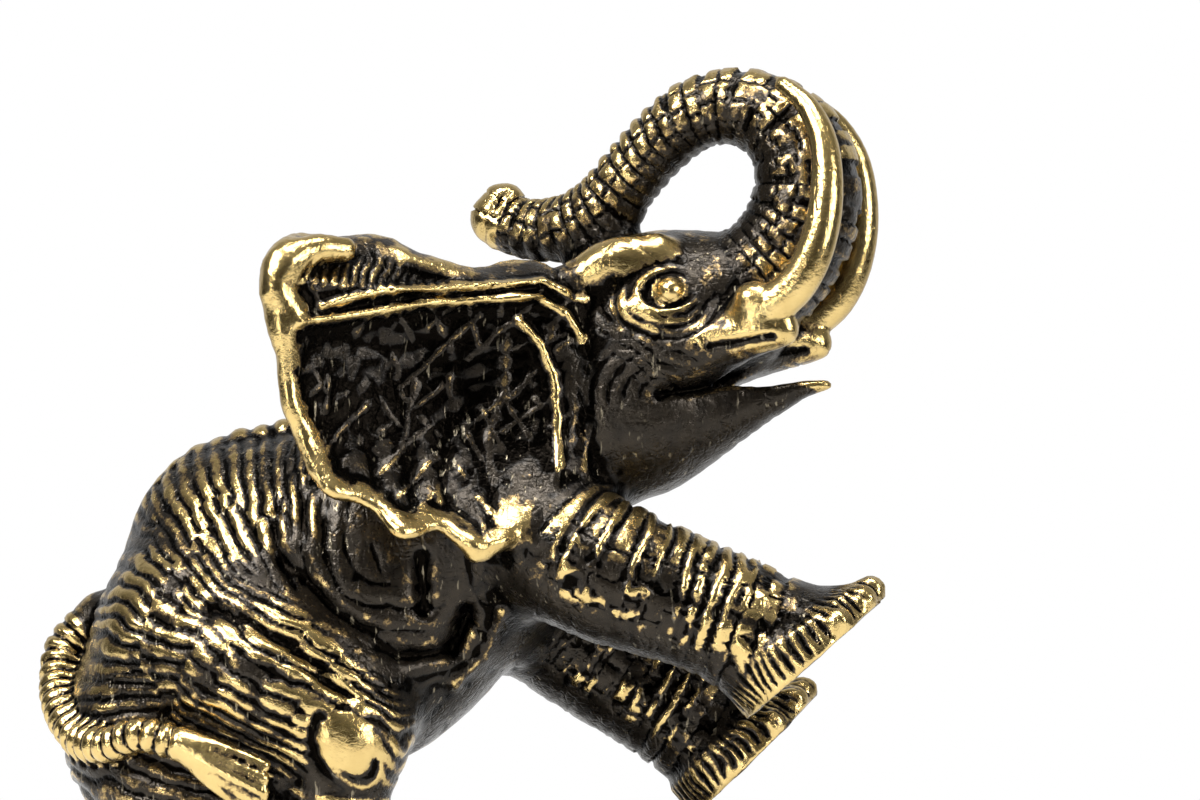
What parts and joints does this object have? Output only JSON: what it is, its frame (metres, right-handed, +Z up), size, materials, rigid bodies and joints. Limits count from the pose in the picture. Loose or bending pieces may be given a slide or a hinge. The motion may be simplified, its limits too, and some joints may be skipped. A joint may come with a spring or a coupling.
{
  "type": "bronze elephant sculpture",
  "caption": "Small cast elephant rearing on its hind legs on a low oval ground, trunk curled back over its head, patinated bronze with polished edges.",
  "frame": {"origin": "centre of the underside of the oval ground, on the surface it stands on", "axes": "+X the way the body faces, +Y to the elephant's left, +Z up"},
  "size_m": [0.072, 0.0475, 0.08],
  "materials": {
    "bronze": "dark brown patina in the recesses, polished gold on the ridges"
  },
  "bodies": {
    "root": {"elephant": "bronze"}
  },
  "joints": []
}
